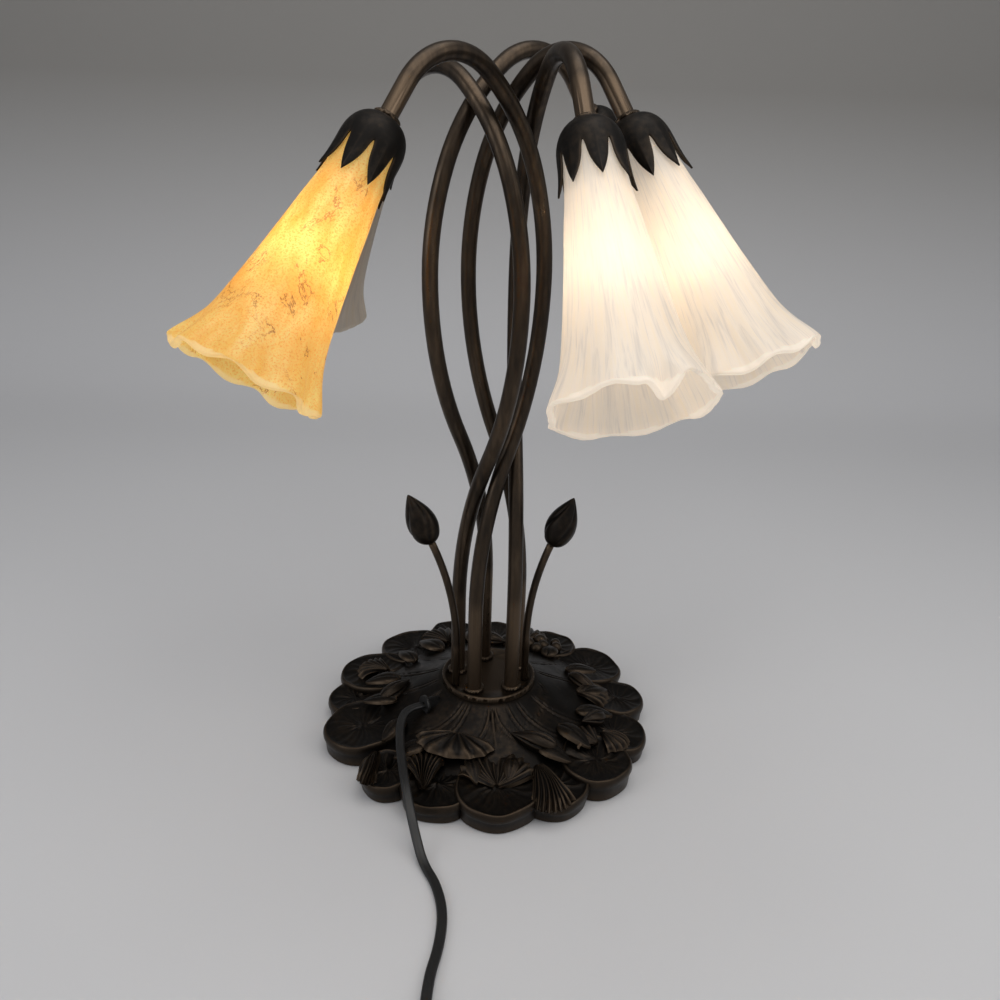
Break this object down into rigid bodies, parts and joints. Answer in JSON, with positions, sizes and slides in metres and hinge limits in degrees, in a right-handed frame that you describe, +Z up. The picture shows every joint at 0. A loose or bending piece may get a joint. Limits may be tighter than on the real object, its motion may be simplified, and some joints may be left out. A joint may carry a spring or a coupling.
{
  "type": "tulip shade table lamp",
  "caption": "Table lamp with bent tube arms that arch over and hang tulip glass shades, on a cast base of lily pads, with buds, flex and plug.",
  "frame": {"origin": "on the axis of the stem plate, in the plane of the felt's underside that the lamp stands on", "axes": "+Z up, -Y towards the front shade, +X to the viewer's right"},
  "size_m": [0.4042, 0.6544, 0.5494],
  "materials": {
    "bronze": "dark antique bronze, satin, rubbed edges",
    "steel": "zinc plated",
    "felt": "pressed felt",
    "amber_glass": "art glass with fine veins",
    "white_glass": "streaked white art glass",
    "bulb": "frosted",
    "socket_black": "moulded",
    "terminal_white": "moulded",
    "lead_black": "extruded",
    "flex_black": "extruded, slightly glossy",
    "switch_black": "moulded",
    "brass_blade": "bright"
  },
  "bodies": {
    "lamp": {"base_casting": "bronze", "base_plate": "steel", "base_felt": "felt", "base_plate_screws": "steel", "stem_plate": "bronze", "arm_tube_right": "bronze", "arm_tube_right_back": "bronze", "arm_tube_left_back": "bronze", "arm_tube_left_front": "bronze", "arm_tube_front": "bronze", "foot_collars": "bronze", "lock_nuts": "steel", "washers": "steel", "end_collars": "bronze", "calyx_right": "bronze", "socket_right": "socket_black", "bulb_cap_right": "steel", "bulb_glass_right": "bulb", "shade_right": "white_glass", "calyx_right_back": "bronze", "socket_right_back": "socket_black", "bulb_cap_right_back": "steel", "bulb_glass_right_back": "bulb", "shade_right_back": "white_glass", "calyx_left_back": "bronze", "socket_left_back": "socket_black", "bulb_cap_left_back": "steel", "bulb_glass_left_back": "bulb", "shade_left_back": "white_glass", "calyx_left_front": "bronze", "socket_left_front": "socket_black", "bulb_cap_left_front": "steel", "bulb_glass_left_front": "bulb", "shade_left_front": "amber_glass", "calyx_front": "bronze", "socket_front": "socket_black", "bulb_cap_front": "steel", "bulb_glass_front": "bulb", "shade_front": "white_glass", "socket_nuts": "steel", "shade_rings": "socket_black", "bud_stem_left": "bronze", "bud_left": "bronze", "bud_stem_right": "bronze", "bud_right": "bronze", "bud_nuts": "steel", "terminal_block": "terminal_white", "arm_leads": "lead_black", "cord_bushing": "flex_black", "cord_lead": "flex_black", "cord_coil": "flex_black", "switch_base": "switch_black", "switch_cover": "switch_black", "switch_screw": "steel", "plug_body": "flex_black", "plug_blades": "brass_blade"},
    "thumbwheel": {"switch_wheel": "switch_black"}
  },
  "joints": [
    {"name": "thumbwheel_turn", "type": "hinge", "parent": "lamp", "child": "thumbwheel", "pos_m": [-0.027, -0.328, 0.0085], "axis": [0, 0, 1], "continuous": true}
  ]
}
